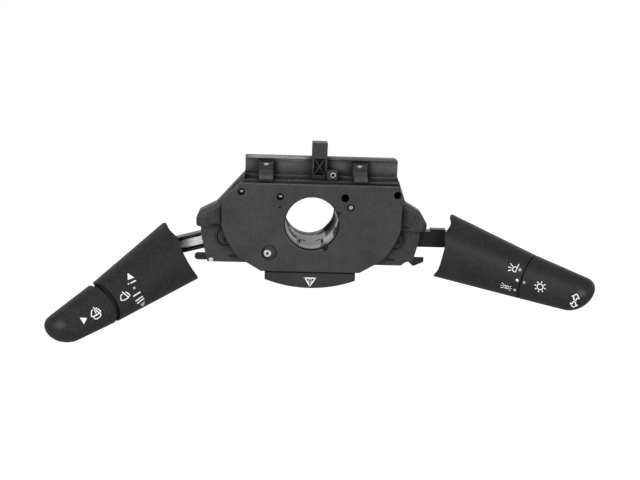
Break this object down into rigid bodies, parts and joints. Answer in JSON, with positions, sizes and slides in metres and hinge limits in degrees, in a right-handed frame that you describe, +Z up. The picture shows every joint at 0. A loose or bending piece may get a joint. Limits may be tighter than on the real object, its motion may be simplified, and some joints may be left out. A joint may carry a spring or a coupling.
{
  "type": "combination stalk switch",
  "caption": "Steering column combination switch: clamp-on carrier with a wiper and washer stalk, an indicator and light stalk, a cancelling ring and a hazard button.",
  "frame": {"origin": "centre of the column bore in the rear seating face of the collar", "axes": "+Y along the column bore away from the driver, +X to the right as the driver sees the switch in the picture, +Z up in the picture"},
  "size_m": [0.4089, 0.1066, 0.149],
  "materials": {
    "carrier_plastic": "moulded satin black",
    "plate_plastic": "fine grained satin black",
    "case_plastic": "moulded satin black",
    "grip_plastic": "soft matt black",
    "inner_plastic": "natural acetal",
    "ring_plastic": "grey acetal",
    "zinc_steel": "zinc plated",
    "black_steel": "black oxide",
    "spring_steel": "drawn wire",
    "brass": "bright"
  },
  "bodies": {
    "carrier": {"carrier_housing": "carrier_plastic", "column_collar": "carrier_plastic", "front_plate": "plate_plastic", "plate_screws": "black_steel", "locating_pin": "zinc_steel", "earth_rivet": "zinc_steel", "top_rail": "carrier_plastic", "rail_clips": "carrier_plastic", "rail_post": "carrier_plastic", "insert_block": "carrier_plastic", "threaded_insert": "brass", "hazard_housing": "case_plastic", "hazard_terminals": "brass", "hazard_spring": "spring_steel", "cover_screws": "zinc_steel", "case_rivet": "zinc_steel", "pawl_spring": "spring_steel", "left_switch_case": "case_plastic", "left_switch_cover": "case_plastic", "left_terminals": "brass", "left_detent_track": "inner_plastic", "left_case_latch": "case_plastic", "right_switch_case": "case_plastic", "right_switch_cover": "case_plastic", "right_terminals": "brass", "right_detent_track": "inner_plastic", "right_case_latch": "case_plastic"},
    "cancel_ring": {"cancel_ring": "ring_plastic"},
    "cancel_pawl": {"cancel_pawl": "inner_plastic"},
    "hazard_button": {"hazard_button": "grip_plastic"},
    "left_cradle": {"left_cradle": "inner_plastic", "left_cross_pin": "zinc_steel", "left_contact_bridge": "brass"},
    "left_stalk": {"left_arm": "zinc_steel", "left_arm_duct": "case_plastic", "left_sleeve": "grip_plastic", "left_end_plug": "grip_plastic", "left_plunger": "zinc_steel", "left_plunger_spring": "spring_steel", "washer_switch": "inner_plastic", "washer_spring": "spring_steel"},
    "washer_button": {"washer_button": "grip_plastic"},
    "right_cradle": {"right_cradle": "inner_plastic", "right_cross_pin": "zinc_steel", "right_contact_bridge": "brass"},
    "right_stalk": {"right_arm": "zinc_steel", "right_arm_duct": "case_plastic", "right_sleeve": "grip_plastic", "right_end_plug": "grip_plastic", "right_plunger": "zinc_steel", "right_plunger_spring": "spring_steel"},
    "light_knob": {"light_knob": "grip_plastic", "light_rotor": "inner_plastic", "knob_retainer": "zinc_steel"}
  },
  "joints": [
    {"name": "cancel_ring_spin", "type": "hinge", "parent": "carrier", "child": "cancel_ring", "pos_m": [0, -0.03, 0], "axis": [0, 1, 0], "continuous": true},
    {"name": "cancel_pawl_slide", "type": "slide", "parent": "carrier", "child": "cancel_pawl", "axis": [-1, 0, 0], "range_m": [0, 0.0025], "stiffness_N_per_m": 100},
    {"name": "hazard_push", "type": "slide", "parent": "carrier", "child": "hazard_button", "axis": [0, 1, 0], "range_m": [0, 0.0035], "stiffness_N_per_m": 400, "springref_m": -0.002, "deforming": ["hazard_spring"]},
    {"name": "wiper_updown", "type": "hinge", "parent": "carrier", "child": "left_cradle", "pos_m": [-0.0655, -0.036, -0.0138], "axis": [0, 1, 0], "range_deg": [-12, 6]},
    {"name": "wiper_pull", "type": "hinge", "parent": "left_cradle", "child": "left_stalk", "pos_m": [-0.0655, -0.036, -0.0138], "axis": [-0.2588, 0, 0.9659], "range_deg": [0, 6], "stiffness_Nm_per_rad": 3, "springref_deg": -3.44},
    {"name": "washer_push", "type": "slide", "parent": "left_stalk", "child": "washer_button", "axis": [0.7635, 0.4848, 0.4267], "range_m": [0, 0.003], "stiffness_N_per_m": 500, "springref_m": -0.002, "deforming": ["washer_spring"]},
    {"name": "indicator_updown", "type": "hinge", "parent": "carrier", "child": "right_cradle", "pos_m": [0.0655, -0.036, -0.0138], "axis": [0, -1, 0], "range_deg": [-7, 7]},
    {"name": "indicator_flash", "type": "hinge", "parent": "right_cradle", "child": "right_stalk", "pos_m": [0.0655, -0.036, -0.0138], "axis": [0, 0, -1], "range_deg": [0, 6], "stiffness_Nm_per_rad": 3, "springref_deg": -3.44},
    {"name": "light_knob_turn", "type": "hinge", "parent": "right_stalk", "child": "light_knob", "pos_m": [0.103, -0.04, -0.0181], "axis": [0.8479, -0.4848, -0.2146], "range_deg": [-25, 25]}
  ]
}
